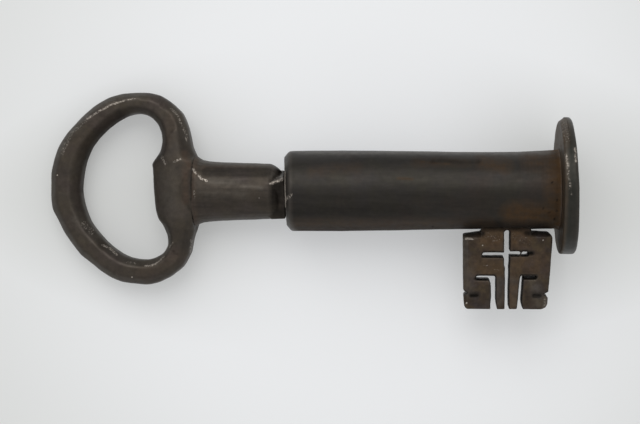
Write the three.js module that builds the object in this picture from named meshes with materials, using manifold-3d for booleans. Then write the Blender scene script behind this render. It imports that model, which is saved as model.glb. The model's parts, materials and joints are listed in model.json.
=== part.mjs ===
// An old forged iron pipe key, at rest on a table: it lies on the rim of its end disc and on the
// far side of its bow, with the bit pointing away along -Y. Z is up and the table is at Z = 0.
//
// Six pieces: the bow, the neck that is tenoned into it, the barrel, the breech plug that closes
// the barrel and holds the neck's tang, the end disc, and the bit let into a slot in the barrel.
//
// Each piece is made on the key's own axis, which runs along x: x = 0 is the seam between bow and
// neck, the bow lies on -x, the barrel on +x and the bit on -y. At the end the key is laid down.
// All sizes are in millimetres.

import * as THREE from "three";
import { mergeVertices } from "three/addons/utils/BufferGeometryUtils.js";
import Module from "manifold-3d";

const wasm = await Module();
wasm.setup();

// Gap that a brazed joint leaves between two pieces.
const fitGap = 0.3;

// Bow: a bent bar with a boss on the neck's side. The bar's width changes round the bow.
const bowLength = 41.7;
const bowReachUp = 27.8;
const bowReachDown = 26.3;
const barThickness = 9.4;
const farBarWidth = 8.8;
const upperBarWidth = 6.1;
const lowerBarWidth = 6.9;
const upperArmWidth = 7.6;
const lowerArmWidth = 7.1;
const bossLength = 11.6;
const bossHeight = 16.6;
const bossThickness = 11.6;
// How far the boss is made past the seam before its seat for the neck is cut flat.
const bossOverrun = 1.2;
// The bar's section is a square with well rounded corners: 1 would be round, 0 square.
const barRoundness = 0.62;
const tenonRadius = 3.6;
const tenonLength = 8;

// Neck: a round bar, hammered a little flat, that is filed to a square shoulder off its middle.
// A smaller square tang goes on through the breech plug and is peened over.
const neckLength = 23.5;
const neckBowRadius = 8.9;
const neckWaistRadius = 8.3;
const neckTipRadius = 7.8;
const neckFlatness = 0.92;
const neckFlare = 3.2;
const neckChamfer = 1.9;
const neckChamferLength = 2.2;
const shoulderSide = 11;
const shoulderLength = 3.1;
const shoulderOffset = 1.1;
const squareTurn = THREE.MathUtils.degToRad(16);
const peenHeight = 2.2;
const peenClearance = 1.2;

// Barrel: a rolled tube, a little waisted, with a rounded mouth at the bow end.
const barrelLength = 74.2;
const barrelMouthRadius = 11.2;
const barrelWaistRadius = 10.5;
const barrelEndRadius = 10.75;
const barrelWall = 2.7;
const mouthRounding = 1.5;
const waistPlace = 0.72;
const plugLength = 8;
const plugRecess = 0.6;
const plugWall = 1.4;

// End disc: a flange with a spigot in the barrel and a hole for the lock's pin. The flange leans,
// and the barrel's end leans with it.
const discRadius = 18.8;
const discThickness = 3.7;
const discOffset = 1.2;
const discEdge = 0.5;
const discLean = THREE.MathUtils.degToRad(1.3);
const spigotLength = 6;
const pinHoleRadius = 5;

// Bit: a plate with a root in the barrel's slot. Its reach is measured from the key's axis.
const bitWidth = 24.1;
const bitTipNarrowing = 1.5;
const bitThickness = 8;
const bitReach = 32.5;
const bitToDisc = 1.9;
const bitShoulderGap = 1.3;
const bitCorner = 1.3;
const bitTwist = THREE.MathUtils.degToRad(4);
const rootWidth = 13.4;
const rootOffset = -0.3;

// Ward cuts in the bit: reaches and offsets along the axis are counted from the centre slot, and
// the other way cuts are placed from the bit's tip or its shoulder.
const centreSlotOffset = -0.2;
const centreSlotWidth = 1.6;
const crossWidth = 1.4;
const crossToShoulderBowSide = 5.65;
const crossToShoulderDiscSide = 5.25;
const crossReachBowSide = 6.6;
const crossReachDiscSide = 6;
const hookToTip = 8.5;
const hookWidth = 1.4;
const hookSlotWidth = 1.6;
const hookOffset = 3.8;
const hookReachBowSide = 8.7;
const hookReachDiscSide = 8.3;
const hookSlantBowSide = 0;
const hookSlantDiscSide = THREE.MathUtils.degToRad(-3.5);
const notchToTip = 3.5;
const notchWidth = 1.1;
const notchDepth = 4;

// Places along the key's axis that more than one piece needs.
const barrelStart = neckLength + shoulderLength;
const barrelEnd = barrelStart + barrelLength;
const boreRadius = barrelWaistRadius - barrelWall;
const plugStart = barrelStart + plugRecess;
const plugEnd = plugStart + plugLength;
const plugRadius = boreRadius - fitGap;
// The tang is as thick as leaves the plug its wall at the tang's corners.
const tangSide = Math.SQRT2 * (plugRadius - plugWall) - 2 * fitGap;
const peenRadius = boreRadius - peenClearance;
const bitStart = barrelEnd - bitToDisc - bitWidth;
const bitShoulderRadius = barrelEndRadius + bitShoulderGap;
const bitMiddle = bitStart + bitWidth / 2;
const rootStart = bitMiddle + rootOffset - rootWidth / 2;

const roundSteps = 48;
const bowSteps = 120;
const barSteps = 14;

const mix = THREE.MathUtils.lerp;

// A closed three.js geometry as a solid that can be cut and joined.
function solid(geometry) {
  const bare = geometry.clone();
  bare.deleteAttribute("normal");
  bare.deleteAttribute("uv");
  const merged = mergeVertices(bare, 1e-4);
  return new wasm.Manifold(
    new wasm.Mesh({
      numProp: 3,
      vertProperties: new Float32Array(merged.attributes.position.array),
      triVerts: new Uint32Array(merged.index.array),
    }),
  );
}

// A cut or joined solid as a named three.js mesh.
function meshOf(name, made, material) {
  const { vertProperties, triVerts } = made.getMesh();
  const geometry = new THREE.BufferGeometry();
  geometry.setAttribute("position", new THREE.BufferAttribute(vertProperties, 3));
  geometry.setIndex(new THREE.BufferAttribute(triVerts, 1));
  geometry.computeVertexNormals();
  const mesh = new THREE.Mesh(geometry, material);
  mesh.name = name;
  return mesh;
}

// A turned solid about the key's axis, from [x, radius] points listed with x rising along the
// outside, so that its faces point out.
function turned(profile, steps = roundSteps) {
  const points = profile.map(([x, radius]) => new THREE.Vector2(radius, x));
  return new THREE.LatheGeometry(points, steps).rotateZ(-Math.PI / 2);
}

// A box given by its lowest and highest corner.
function block(low, high) {
  const size = high.map((value, i) => value - low[i]);
  const centre = high.map((value, i) => (value + low[i]) / 2);
  return new THREE.BoxGeometry(...size).translate(...centre);
}

// A square bar along the axis, turned as the neck's flats are.
function squareBar(side, from, to) {
  return block([from, -side / 2, -side / 2], [to, side / 2, side / 2]).rotateX(squareTurn);
}

function iron(colour, roughness) {
  return new THREE.MeshStandardMaterial({ color: colour, roughness, metalness: 0.85 });
}

// The bow's bar as a ring of stations, each with the place of the bar's middle, the bar's width in
// the plane of the bow, and its thickness. The list runs from the far side over the top to the boss
// and back underneath.
function bowStations() {
  const nearX = -bossLength / 2;
  const farX = farBarWidth / 2 - bowLength;
  const far = (share) => mix(nearX, farX, share);
  const up = (share) => share * (bowReachUp - upperBarWidth / 2);
  const down = (share) => -share * (bowReachDown - lowerBarWidth / 2);
  const toBoss = (width, share) => mix(width, bossLength, share);
  const overrunLength = bossLength + 2 * bossOverrun;
  const armThickness = mix(barThickness, bossThickness, 0.25);
  return [
    [far(1), up(0.02), farBarWidth, barThickness],
    [far(0.95), up(0.42), mix(farBarWidth, upperBarWidth, 0.1), barThickness],
    [far(0.81), up(0.67), mix(farBarWidth, upperBarWidth, 0.5), barThickness],
    [far(0.585), up(0.91), mix(farBarWidth, upperBarWidth, 0.7), barThickness],
    [far(0.36), up(1), upperBarWidth, barThickness],
    [far(0.19), up(0.97), mix(upperBarWidth, upperArmWidth, 0.3), barThickness],
    [far(0.06), up(0.83), mix(upperBarWidth, upperArmWidth, 0.7), barThickness],
    [far(0), up(0.63), upperArmWidth, barThickness],
    [far(-0.01), up(0.475), toBoss(upperArmWidth, 0.3), armThickness],
    [nearX, bossHeight / 2, bossLength, bossThickness],
    [nearX + bossOverrun, 0, overrunLength, bossThickness],
    [far(-0.01), -bossHeight / 2, toBoss(lowerArmWidth, 0.85), bossThickness],
    [far(-0.045), down(0.48), toBoss(lowerArmWidth, 0.35), armThickness],
    [far(-0.05), down(0.64), lowerArmWidth, barThickness],
    [far(-0.02), down(0.78), mix(lowerArmWidth, lowerBarWidth, 0.5), barThickness],
    [far(0.1), down(0.92), lowerBarWidth, barThickness],
    [far(0.27), down(1), lowerBarWidth, barThickness],
    [far(0.475), down(0.95), lowerBarWidth, barThickness],
    [far(0.685), down(0.77), mix(lowerBarWidth, farBarWidth, 0.1), barThickness],
    [far(0.87), down(0.5), mix(lowerBarWidth, farBarWidth, 0.5), barThickness],
    [far(0.97), down(0.215), mix(lowerBarWidth, farBarWidth, 0.9), barThickness],
  ];
}

function signedPower(value) {
  return Math.sign(value) * Math.abs(value) ** barRoundness;
}

function bowGeometry() {
  const stations = bowStations();
  const middle = new THREE.CatmullRomCurve3(
    stations.map(([x, y]) => new THREE.Vector3(x, y, 0)),
    true,
  );
  const size = new THREE.CatmullRomCurve3(
    stations.map(([, , width, thickness]) => new THREE.Vector3(width, thickness, 0)),
    true,
    "catmullrom",
    0.5,
  );
  const positions = [];
  for (let i = 0; i < bowSteps; i++) {
    const place = middle.getPoint(i / bowSteps);
    const along = middle.getTangent(i / bowSteps);
    const outward = new THREE.Vector3(-along.y, along.x, 0).normalize();
    const { x: width, y: thickness } = size.getPoint(i / bowSteps);
    for (let k = 0; k < barSteps; k++) {
      const angle = ((k + 0.5) / barSteps) * 2 * Math.PI;
      const side = (width / 2) * signedPower(Math.cos(angle));
      const height = (thickness / 2) * signedPower(Math.sin(angle));
      positions.push(place.x + outward.x * side, place.y + outward.y * side, height);
    }
  }
  const indices = [];
  for (let i = 0; i < bowSteps; i++) {
    for (let k = 0; k < barSteps; k++) {
      const here = i * barSteps + k;
      const turn = i * barSteps + ((k + 1) % barSteps);
      const next = ((i + 1) % bowSteps) * barSteps + k;
      const nextTurn = ((i + 1) % bowSteps) * barSteps + ((k + 1) % barSteps);
      indices.push(here, turn, next, turn, nextTurn, next);
    }
  }
  const geometry = new THREE.BufferGeometry();
  geometry.setAttribute("position", new THREE.Float32BufferAttribute(positions, 3));
  geometry.setIndex(indices);
  return geometry;
}

function bow() {
  const reach = bowReachUp + bowReachDown;
  const pastSeam = block([0, -reach, -reach], [bossLength, reach, reach]);
  const socket = turned([
    [-tenonLength - fitGap, 0],
    [-tenonLength - fitGap, tenonRadius + fitGap],
    [bossLength, tenonRadius + fitGap],
    [bossLength, 0],
  ]);
  const made = solid(bowGeometry()).subtract(solid(pastSeam)).subtract(solid(socket));
  return meshOf("bow", made, iron(0x3f3731, 0.5));
}

function neck() {
  const bar = turned([
    [fitGap, 0],
    [fitGap, neckBowRadius],
    [fitGap + neckFlare, neckWaistRadius],
    [neckLength - neckChamferLength, neckTipRadius],
    [neckLength, neckTipRadius - neckChamfer],
    [neckLength, 0],
  ]).scale(1, 1, neckFlatness);
  const tenon = turned([
    [-tenonLength, 0],
    [-tenonLength, tenonRadius],
    [neckFlare, tenonRadius],
    [neckFlare, 0],
  ]);
  const shoulder = squareBar(shoulderSide, neckLength - neckChamferLength, barrelStart - fitGap);
  shoulder.translate(0, -shoulderOffset, 0);
  const peenStart = plugEnd + fitGap;
  const peenEnd = peenStart + peenHeight;
  const tang = squareBar(tangSide, neckLength, peenStart + peenHeight / 2);
  const peen = turned([
    [peenStart, 0],
    [peenStart, peenRadius],
    [mix(peenStart, peenEnd, 0.5), peenRadius],
    [peenEnd, tangSide / 2],
    [peenEnd, 0],
  ]);
  const made = [tenon, shoulder, tang, peen].reduce(
    (joined, piece) => joined.add(solid(piece)),
    solid(bar),
  );
  return meshOf("neck", made, iron(0x3c3530, 0.48));
}

function breechPlug() {
  const body = turned([
    [plugStart, 0],
    [plugStart, plugRadius],
    [plugEnd, plugRadius],
    [plugEnd, 0],
  ]);
  const hole = squareBar(tangSide + 2 * fitGap, barrelStart - plugLength, plugEnd + plugLength);
  const made = solid(body).subtract(solid(hole));
  return meshOf("breech_plug", made, iron(0x332c27, 0.6));
}

// The bit's own plane is turned a little about the key's axis, and so is the slot that it sits in.
function inBitPlane(geometry) {
  return geometry.rotateX(bitTwist);
}

function barrel() {
  const waist = mix(barrelStart, barrelEnd, waistPlace);
  const corner = barrelMouthRadius - mouthRounding;
  const mouthSteps = 4;
  const mouth = [];
  for (let step = 0; step <= mouthSteps; step++) {
    const angle = (step / mouthSteps) * (Math.PI / 2);
    mouth.push([
      barrelStart + mouthRounding * (1 - Math.sin(angle)),
      corner + mouthRounding * Math.cos(angle),
    ]);
  }
  const uncutEnd = barrelEnd + discThickness;
  const tube = turned([
    [barrelStart, boreRadius],
    ...mouth.reverse(),
    [waist, barrelWaistRadius],
    [uncutEnd, barrelEndRadius],
    [uncutEnd, boreRadius],
    [barrelStart, boreRadius],
  ]);
  const pastEnd = leaning(
    block([barrelEnd, -discRadius, -discRadius], [barrelEnd + discRadius, discRadius, discRadius]),
  );
  const slot = inBitPlane(
    block(
      [rootStart - fitGap, -2 * barrelMouthRadius, -bitThickness / 2 - fitGap],
      [rootStart + rootWidth + fitGap, 0, bitThickness / 2 + fitGap],
    ),
  );
  const made = solid(tube).subtract(solid(pastEnd)).subtract(solid(slot));
  return meshOf("barrel", made, iron(0x38312c, 0.45));
}

// The flange leans about the middle of the barrel's end.
function leaning(geometry) {
  return geometry.translate(-barrelEnd, 0, 0).rotateZ(discLean).translate(barrelEnd, 0, 0);
}

function endDisc() {
  const face = barrelEnd + fitGap;
  const flange = turned([
    [face, 0],
    [face, discRadius - discEdge],
    [face + discEdge, discRadius],
    [face + discThickness - discEdge, discRadius],
    [face + discThickness, discRadius - discEdge],
    [face + discThickness, 0],
  ]);
  leaning(flange.translate(0, discOffset, 0));
  const spigot = turned([
    [barrelEnd - spigotLength, 0],
    [barrelEnd - spigotLength, boreRadius - fitGap],
    [face + discThickness / 2, boreRadius - fitGap],
    [face + discThickness / 2, 0],
  ]);
  const hole = turned([
    [barrelEnd - 2 * spigotLength, 0],
    [barrelEnd - 2 * spigotLength, pinHoleRadius],
    [face + 2 * discThickness, pinHoleRadius],
    [face + 2 * discThickness, 0],
  ]);
  const made = solid(flange).add(solid(spigot)).subtract(solid(hole));
  return meshOf("end_disc", made, iron(0x3a3632, 0.4));
}

// The bit's outline, seen from the front: the plate with rounded lower corners.
function plateOutline() {
  const left = bitStart;
  const right = bitStart + bitWidth;
  const tipRight = right - bitTipNarrowing;
  const top = -bitShoulderRadius;
  const bottom = -bitReach;
  const outline = new THREE.Shape();
  outline.moveTo(left, top);
  outline.lineTo(left, bottom + bitCorner);
  outline.absarc(left + bitCorner, bottom + bitCorner, bitCorner, Math.PI, 1.5 * Math.PI, false);
  outline.lineTo(tipRight - bitCorner, bottom);
  outline.absarc(tipRight - bitCorner, bottom + bitCorner, bitCorner, 1.5 * Math.PI, 0, false);
  outline.lineTo(right, top);
  outline.closePath();
  return outline;
}

// A ward cut through the plate, between two places along the axis and two heights from it.
function wardCut(fromX, toX, fromHeight, toHeight) {
  const low = [Math.min(fromX, toX), -toHeight, -bitThickness];
  const high = [Math.max(fromX, toX), -fromHeight, bitThickness];
  return block(low, high);
}

// A level cut of the given width about a height, between two places along the axis.
function levelCut(fromX, toX, height, width) {
  return wardCut(fromX, toX, height - width / 2, height + width / 2);
}

// One side's cuts: half of the cross, a slot with a hook at its top, and a notch in the edge. The
// slot may slant about the hook. side is -1 towards the bow and 1 towards the disc.
function sideCuts(side, sizes) {
  const middle = bitMiddle + centreSlotOffset;
  const crossHeight = bitShoulderRadius + sizes.crossToShoulder;
  const cross = levelCut(middle, middle + side * sizes.crossReach, crossHeight, crossWidth);
  const slotX = middle + side * hookOffset;
  const hookHeight = bitReach - hookToTip;
  const hook = levelCut(slotX, middle + side * sizes.hookReach, hookHeight, hookWidth);
  const halfSlot = hookSlotWidth / 2;
  const slot = wardCut(-halfSlot, halfSlot, -hookWidth / 2, bitReach);
  slot.rotateZ(sizes.hookSlant).translate(slotX, -hookHeight, 0);
  const edge = bitMiddle + (side * bitWidth) / 2;
  const notchEnd = edge - side * (notchDepth + sizes.narrowing);
  const notch = levelCut(notchEnd, edge + side, bitReach - notchToTip, notchWidth);
  return [cross, hook, slot, notch];
}

function wardCuts() {
  const middle = bitMiddle + centreSlotOffset;
  const halfSlot = centreSlotWidth / 2;
  const past = bitReach + bitCorner;
  return [
    wardCut(middle - halfSlot, middle + halfSlot, barrelEndRadius, past),
    ...sideCuts(-1, {
      crossReach: crossReachBowSide,
      crossToShoulder: crossToShoulderBowSide,
      hookReach: hookReachBowSide,
      hookSlant: hookSlantBowSide,
      narrowing: 0,
    }),
    ...sideCuts(1, {
      crossReach: crossReachDiscSide,
      crossToShoulder: crossToShoulderDiscSide,
      hookReach: hookReachDiscSide,
      hookSlant: hookSlantDiscSide,
      narrowing: bitTipNarrowing,
    }),
  ];
}

function bit() {
  const plate = new THREE.ExtrudeGeometry(plateOutline(), {
    depth: bitThickness,
    bevelEnabled: false,
    curveSegments: 6,
  }).translate(0, 0, -bitThickness / 2);
  const root = block(
    [rootStart, -bitShoulderRadius - bitCorner, -bitThickness / 2],
    [rootStart + rootWidth, -boreRadius, bitThickness / 2],
  );
  let made = solid(plate).add(solid(root));
  for (const cut of wardCuts()) made = made.subtract(solid(cut));
  const mesh = meshOf("bit", made, iron(0x413831, 0.55));
  inBitPlane(mesh.geometry);
  return mesh;
}

// The lowest point of a mesh once the key is tilted about Y.
function lowestPoint(mesh, tilt) {
  const place = mesh.geometry.attributes.position;
  let lowest = Infinity;
  for (let i = 0; i < place.count; i++) {
    const height = place.getX(i) * Math.sin(tilt) + place.getZ(i) * Math.cos(tilt);
    lowest = Math.min(lowest, height);
  }
  return lowest;
}

// The tilt at which the bow and the end disc touch the table together, found by halving.
function restTilt(bowMesh, discMesh) {
  let low = -0.5;
  let high = 0.5;
  for (let step = 0; step < 40; step++) {
    const tilt = (low + high) / 2;
    const discIsLower = lowestPoint(discMesh, tilt) < lowestPoint(bowMesh, tilt);
    if (discIsLower) low = tilt;
    else high = tilt;
  }
  return (low + high) / 2;
}

const key = new THREE.Group();
const bowMesh = bow();
const discMesh = endDisc();
key.add(bowMesh, neck(), breechPlug(), barrel(), discMesh, bit());
key.rotation.y = -restTilt(bowMesh, discMesh);

// The origin is on the table, under the middle of the key's box.
const box = new THREE.Box3().setFromObject(key, true);
key.position.set(-(box.min.x + box.max.x) / 2, -(box.min.y + box.max.y) / 2, -box.min.z);

const part = new THREE.Group();
part.add(key);

export default part;
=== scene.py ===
"""An old forged iron pipe key, lying on a pale table and seen from straight above.

The pieces are modelled one by one on the key's own axis, in millimetres: x = 0 is the seam
between bow and neck, the barrel lies on +x and the bit on -y, which is down the picture. Each
finished piece is then laid on the table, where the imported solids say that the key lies, in metres.
"""

import json
import math
from contextlib import contextmanager

import bmesh
import bpy
import numpy as np
from mathutils import Matrix, Vector


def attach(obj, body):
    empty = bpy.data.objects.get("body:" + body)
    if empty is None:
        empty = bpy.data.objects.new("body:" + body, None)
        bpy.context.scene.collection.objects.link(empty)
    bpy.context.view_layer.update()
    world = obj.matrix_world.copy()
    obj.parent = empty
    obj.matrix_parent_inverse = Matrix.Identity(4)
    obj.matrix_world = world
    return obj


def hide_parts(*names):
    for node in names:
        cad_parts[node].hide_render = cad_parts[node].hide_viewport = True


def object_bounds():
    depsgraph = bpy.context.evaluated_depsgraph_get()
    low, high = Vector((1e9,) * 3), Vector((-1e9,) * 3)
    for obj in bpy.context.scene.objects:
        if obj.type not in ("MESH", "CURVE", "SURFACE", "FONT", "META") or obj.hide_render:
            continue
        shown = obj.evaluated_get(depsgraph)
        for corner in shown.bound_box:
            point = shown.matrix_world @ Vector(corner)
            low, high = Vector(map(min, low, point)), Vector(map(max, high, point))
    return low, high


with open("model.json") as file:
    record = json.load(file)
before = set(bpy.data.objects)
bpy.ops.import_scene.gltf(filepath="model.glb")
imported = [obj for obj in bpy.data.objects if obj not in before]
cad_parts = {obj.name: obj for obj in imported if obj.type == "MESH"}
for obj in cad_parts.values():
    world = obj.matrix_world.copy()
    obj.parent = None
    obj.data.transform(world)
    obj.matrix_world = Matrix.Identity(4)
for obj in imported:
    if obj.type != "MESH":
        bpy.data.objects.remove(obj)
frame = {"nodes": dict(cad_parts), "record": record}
cad_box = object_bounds()

MM = 0.001
ALONG = Vector((1, 0, 0))
# What is left free between two pieces that fit into each other.
FIT_GAP = 0.3
chance = np.random.default_rng(1823)

# The bow's outline, as pairs of points across its bar: the outer one, then the one in the eye.
# They start at the far side and run over the top, down past the boss and back underneath.
BOW_OUTLINE = [
    ((-41.73, 1.7), (-32.9, 1.7)),
    ((-41.65, 5.4), (-32.4, 5.7)),
    ((-40.9, 8.6), (-31.7, 8.8)),
    ((-39.6, 12.6), (-30.2, 12.3)),
    ((-37.0, 16.5), (-28.2, 15.0)),
    ((-33.0, 20.7), (-25.7, 17.4)),
    ((-28.9, 24.2), (-22.9, 19.5)),
    ((-24.8, 26.5), (-20.15, 21.1)),
    ((-20.9, 27.5), (-18.0, 21.7)),
    ((-16.8, 27.8), (-16.1, 21.9)),
    ((-13.2, 27.7), (-14.0, 21.4)),
    ((-9.9, 26.9), (-12.2, 20.4)),
    ((-6.65, 24.75), (-10.5, 18.5)),
    ((-3.6, 21.8), (-9.6, 16.1)),
    ((-1.8, 17.2), (-9.4, 13.8)),
    ((-1.0, 12.3), (-10.0, 11.0)),
    ((0.3, 9.6), (-11.7, 8.6)),
    ((4.0, 8.6), (-12.5, 7.4)),
    ((4.6, 6.2), (-12.2, 6.2)),
    ((4.6, 0.2), (-11.95, 0.2)),
    ((4.6, -5.6), (-11.4, -5.6)),
    ((3.6, -8.4), (-10.6, -8.0)),
    ((0.1, -11.0), (-9.1, -9.8)),
    ((-0.7, -13.6), (-7.85, -12.8)),
    ((-1.4, -17.4), (-7.75, -15.4)),
    ((-3.4, -21.3), (-9.2, -17.7)),
    ((-7.1, -24.2), (-11.6, -19.0)),
    ((-10.6, -25.95), (-13.8, -19.5)),
    ((-13.7, -26.65), (-16.2, -19.4)),
    ((-17.4, -26.4), (-18.8, -18.9)),
    ((-21.1, -25.9), (-21.2, -17.9)),
    ((-24.2, -24.7), (-23.7, -16.2)),
    ((-27.1, -22.9), (-26.1, -14.1)),
    ((-30.1, -20.5), (-27.95, -12.05)),
    ((-33.0, -18.3), (-29.5, -10.2)),
    ((-35.2, -15.5), (-30.75, -8.3)),
    ((-37.6, -12.3), (-31.55, -6.2)),
    ((-39.6, -8.4), (-32.3, -4.0)),
    ((-41.3, -5.2), (-32.8, -1.6)),
    ((-41.75, -2.0), (-33.0, 0.3)),
]
# The flats hammered along the bar's outside, by the angle round the eye in degrees: how wide each
# is and how far it slopes.
BOW_FLATS = [
    (-180, 2.0, 38),
    (-140, 2.2, 36),
    (-100, 2.2, 34),
    (-60, 1.8, 40),
    (-30, 1.2, 40),
    (20, 1.2, 40),
    (60, 2.6, 34),
    (90, 2.4, 34),
    (120, 2.3, 36),
    (150, 2.2, 38),
    (180, 2.0, 38),
]
EYE_CENTRE = Vector((-21, 1, 0))
BAR_SIDES = 8
BAR_THICKNESS = 9.3
# Past BOSS_SIDE the bar thickens to the boss: places up and down the picture, and how thick it is.
BOSS_SIDE = -14
BOSS_SWELLING = ([-17, -9, -3, 8, 17], [BAR_THICKNESS, 12.5, 12.1, 11.4, BAR_THICKNESS])
# The boss is left without blows: where it starts, and how far it reaches to either side.
BOSS_START = -12
BOSS_REACH = 12
# The boss swells once more to meet the neck: the places along the axis, and how far it then reaches
# up and down the picture and in thickness, either side of the axis.
COLLAR = [(-5.0, 7.0, 5.4), (0.0, 9.8, 7.3)]
TENON_RADIUS = 3.6
TENON_LENGTH = 8

# The neck, at places along the axis: how far it reaches up and down the picture, and half its
# thickness.
NECK_STATIONS = [
    (-0.25, 10.2, -10.3, 7.4),
    (1.0, 9.2, -9.4, 7.9),
    (2.0, 8.7, -9.0, 7.9),
    (3.6, 8.3, -8.8, 7.8),
    (7.7, 8.0, -8.5, 7.6),
    (14.0, 7.75, -8.25, 7.5),
    (19.0, 7.6, -8.05, 7.3),
    (21.4, 7.5, -8.0, 7.2),
    (22.4, 7.05, -8.0, 6.9),
    (23.3, 6.4, -7.9, 6.3),
    (24.0, 5.7, -7.8, 5.5),
]
NECK_SIDES = 36
# The shoulder is filed square and a little askew: its square starts at this turn, and turns back
# and widens by this much towards the barrel. It hangs a little below the axis.
SHOULDER_START = 21.5
SHOULDER_SIDE = 11
SHOULDER_TURN = math.radians(22)
SHOULDER_TWIST = math.radians(7.7)
SHOULDER_WIDENING = 1.04
SHOULDER_DROP = 1.1
# The square tang goes on into the barrel and through the plug, and is peened over behind it.
TANG_START = 23
TANG_SIDE = 8
TANG_TURN = math.radians(16)
PEEN_RADIUS = 6.6
PEEN_HEIGHT = 2.2
PEEN_TAPER = 0.7

# The barrel's outside, as radii at places along the axis.
BARREL_END = 100.8
BARREL_RADII = [
    (41, 11.25), (50, 11.15), (57, 11.0), (63, 10.86), (80, 10.62), (96, 10.72), (99.6, 10.8),
    (100.3, 10.9), (BARREL_END, 11.15),
]
BORE_RADIUS = 7.8
# The barrel lies a little below the axis. Towards the flange it bends up the picture, by this much
# in all and in so many steps.
BARREL_DROP = 0.1
BARREL_BEND = 0.3
BEND_START, BEND_END, BEND_STEPS = 90, 99, 10
# The mouth isn't cut quite square: its upper side stands further in than its lower side. The lean
# grows from where it starts to the mouth.
MOUTH_MIDDLE = 25.45
MOUTH_LEAN = math.radians(6.6)
MOUTH_SIDE_LEAN = math.radians(2)
LEAN_START, LEAN_END = 31, 26
# The mouth's outer edge: how far it lies from the mouth, and its radius there.
MOUTH_CHAMFER = [(0, 9.5), (0.2, 9.8), (1.2, 10.9), (1.6, 11.13), (2.2, 11.2)]
MOUTH_ROUNDING = 0.5

PLUG_START = 27.2
PLUG_LENGTH = 8

DISC_RADIUS = 18.75
DISC_THICKNESS = 3.75
# How far the flange's face stands off the barrel's end, and how its two edges are rounded.
DISC_GAP = 0.05
INNER_ROUNDING = 0.6
OUTER_ROUNDING = 0.8
# The rim is worn off towards the barrel: the width of the wear by the angle from +y towards +z.
DISC_WEAR = [(-70, 0.6), (-45, 1.4), (-20, 2.0), (0, 2.1), (20, 1.8), (45, 1.0), (70, 0.5)]
WEAR_ANGLES = range(-76, 77, 8)
WEAR_HALF_LENGTH = 1.7
# How much of the worn slope faces outwards and how much towards the barrel.
WEAR_OUT, WEAR_IN = 0.8, 0.6
# The flange is set off its middle. The shift grows over these radii, so the pin hole stays put.
DISC_OFFSET = 1.2
OFFSET_RADII = range(9, 17)
# The flange's face towards the barrel leans a little, and its outer face leans this much more.
DISC_LEAN = math.radians(0.23)
OUTER_FACE_LEAN = math.radians(1.65)
SPIGOT_LENGTH = 6
PIN_HOLE_RADIUS = 5
# Wear on the rim goes no further in than this.
RIM_DEPTH = 2.6

BIT_THICKNESS = 7.9
BIT_TWIST = math.radians(4)
ROOT_START = 79.85
ROOT_WIDTH = 13.4
# The bit is brazed in, so hardly any gap is left round its root.
BRAZED_GAP = 0.12
# The bit's outline, from its shoulder at the neck's side over the root and round to the tip.
BIT_OUTLINE = [
    (74.8, -12.15), (79.85, -11.35), (79.85, -7.9), (93.25, -7.9), (93.25, -11.3), (98.0, -11.55),
    (98.85, -12.1), (99.05, -13.0), (98.5, -22.0), (98.1, -26.5), (97.75, -31.0), (97.2, -32.05),
    (96.0, -32.5), (91.3, -32.45), (82.0, -32.65), (76.1, -32.65), (75.35, -32.2), (75.05, -31.4),
    (74.95, -29.5), (74.87, -22.0),
]
# The cuts that go through the bit: the middle slot, its near arm, its far arm in two lengths, the
# near hook, the far slot and the nicks at both edges.
WARD_CUTS = [
    [(86.15, -34), (86.25, -27.0), (86.3, -24.5), (86.2, -22.2), (86.3, -21.3), (86.0, -20.4),
     (86.0, -13.8), (86.15, -13.5), (86.0, -13.2), (86.0, -11.4), (86.3, -10.9), (86.75, -10.75),
     (87.25, -10.9), (87.6, -11.4), (87.6, -16.0), (87.5, -20.0), (87.35, -21.4), (87.45, -23.0),
     (87.3, -26.0), (87.25, -29.0), (87.4, -34)],
    [(80.05, -17.3), (80.5, -16.85), (86.65, -16.9), (86.65, -18.3), (80.0, -18.3)],
    [(86.65, -16.6), (90.45, -16.6), (90.1, -18.0), (86.65, -18.0)],
    [(90.85, -16.6), (92.3, -16.6), (92.7, -17.0), (92.7, -17.7), (92.2, -18.0), (90.5, -18.0)],
    [(78.4, -23.6), (78.6, -23.3), (83.4, -23.3), (83.8, -23.8), (83.8, -30.4), (84.3, -34),
     (82.3, -34), (82.3, -31.0), (82.5, -29.0), (82.45, -26.6), (82.3, -25.2), (81.9, -24.6),
     (78.4, -24.6)],
    [(90.35, -23.6), (90.6, -23.2), (91.0, -23.2), (91.25, -23.6), (91.0, -27.0), (90.75, -30.6),
     (91.3, -34), (89.3, -34), (89.8, -29.8), (90.05, -26.4)],
    [(73.9, -26.9), (76.2, -28.1), (73.9, -29.7)],
    [(99.5, -26.8), (96.5, -28.4), (99.5, -30.1)],
]
# The far hook's arm is sawn at a slant, so nothing shows through it from above. Its upper end lies
# this much further down the picture, and the painted shade along its sawn wall this much.
SLANT = -1.6
SLANT_SHADE = -1.3
SLANTING_CUT = [(90.8, -21.9), (94.6, -21.9), (95.0, -22.3), (94.6, -23.0), (90.8, -23.0)]
# Pits at the ends of the cuts that don't go through.
BLIND_CUTS = [
    [(76.5, -28.7), (76.9, -28.4), (78.7, -28.4), (79.1, -28.8), (78.6, -29.2), (76.9, -29.3)],
    [(93.5, -28.7), (93.9, -28.3), (95.7, -28.3), (96.2, -28.7), (95.7, -29.3), (94.0, -29.3)],
    [(92.0, -16.8), (93.6, -16.7), (94.0, -17.1), (93.6, -17.6), (92.0, -17.7)],
    [(77.7, -23.9), (78.8, -23.5), (78.8, -24.6), (77.9, -24.5)],
]
BLIND_DEPTH = 0.5
# The saw left a thin burr across the far arm, at the bit's upper side only.
BURR = [(90.3, -16.5), (91.0, -16.5), (90.6, -18.1), (90.0, -18.1)]
BURR_HEIGHT = 1.0
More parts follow.
